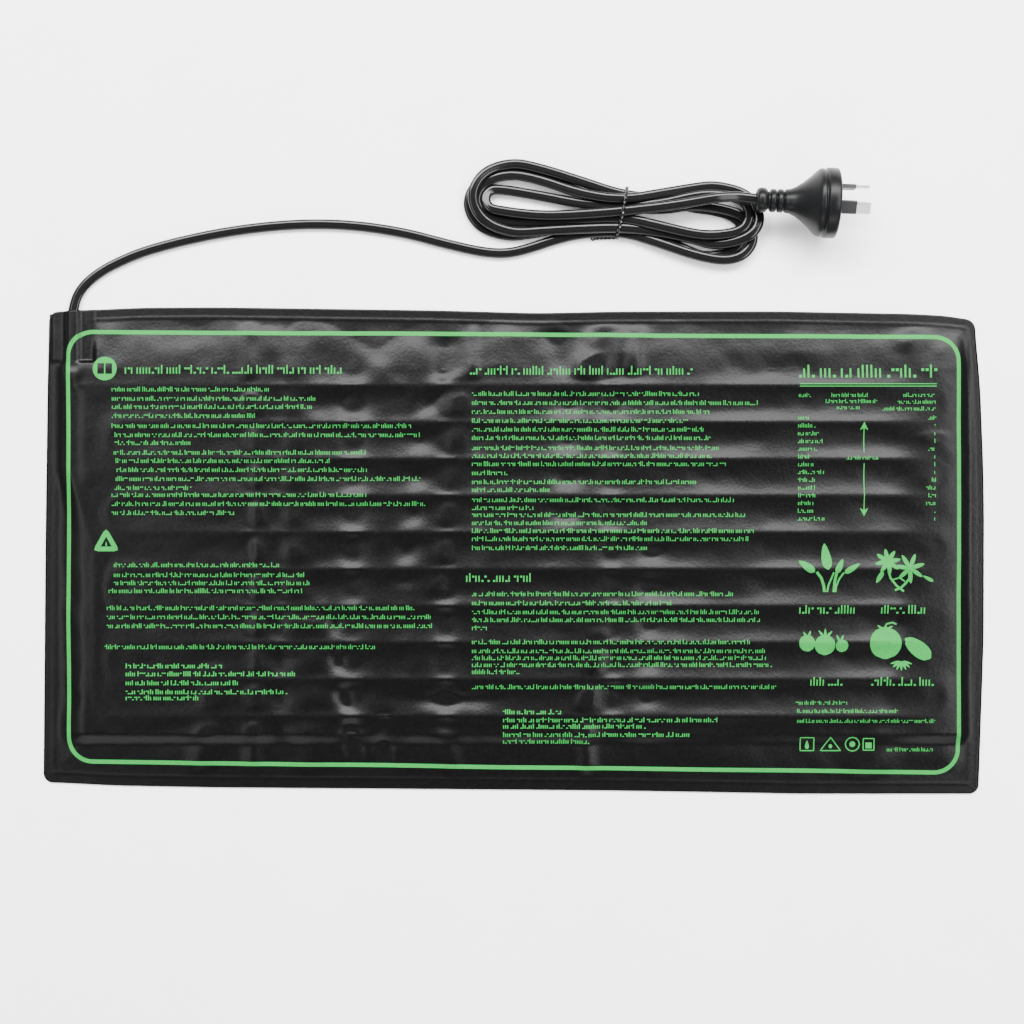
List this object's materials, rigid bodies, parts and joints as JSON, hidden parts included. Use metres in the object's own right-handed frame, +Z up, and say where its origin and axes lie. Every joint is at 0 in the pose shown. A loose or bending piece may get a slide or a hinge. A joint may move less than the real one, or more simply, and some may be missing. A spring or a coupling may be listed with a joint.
{
  "type": "seedling heat mat",
  "caption": "Flat sealed film heat mat for seed trays, with a flat lead tied in a hank and a round two-pin plug.",
  "frame": {"origin": "centre of the mat's underside, where it lies on the bench", "axes": "+X along the mat's long side, +Y towards the edge where the lead leaves, +Z up"},
  "size_m": [0.51, 0.3445, 0.0375],
  "materials": {
    "black_film": "soft gloss PVC film, black",
    "cord_jacket": "gloss black PVC jacket",
    "grey_felt": "needled felt",
    "foil": "thin bright foil",
    "heater_silicone": "satin silicone rubber",
    "tape_film": "matt adhesive tape",
    "live_insulation": "satin PVC, brown",
    "neutral_insulation": "satin PVC, blue",
    "crimp_metal": "stamped, satin",
    "shrink_sleeve": "shrunk sleeve, satin",
    "green_ink": "screen-printed ink, satin green",
    "tie_plastic": "plastic-covered wire tie, gloss black",
    "plug_pvc": "moulded PVC, fine satin black",
    "bridge_plastic": "rigid thermoplastic, natural",
    "pin_metal": "nickel-plated, bright",
    "pin_sleeve_plastic": "insulating sleeve, gloss black"
  },
  "bodies": {
    "root": {"bottom_film": "black_film", "top_film": "black_film", "entry_block": "black_film", "cord_root": "cord_jacket", "cord_lead": "cord_jacket", "cord_hank": "cord_jacket", "cord_tail": "cord_jacket", "base_felt": "grey_felt", "cover_fleece": "grey_felt", "spreader_foil": "foil", "heating_wire": "heater_silicone", "wire_tape_1": "tape_film", "wire_tape_2": "tape_film", "wire_tape_3": "tape_film", "wire_tape_4": "tape_film", "live_core": "live_insulation", "plug_core_live": "live_insulation", "neutral_core": "neutral_insulation", "plug_core_neutral": "neutral_insulation", "live_crimp": "crimp_metal", "neutral_crimp": "crimp_metal", "pin_crimp_live": "crimp_metal", "pin_crimp_neutral": "crimp_metal", "live_sleeve": "shrink_sleeve", "neutral_sleeve": "shrink_sleeve", "printed_border": "green_ink", "twist_tie": "tie_plastic", "plug_body": "plug_pvc", "plug_bridge": "bridge_plastic", "plug_pin_live": "pin_metal", "plug_pin_neutral": "pin_metal", "pin_sleeve_live": "pin_sleeve_plastic", "pin_sleeve_neutral": "pin_sleeve_plastic"}
  },
  "joints": []
}
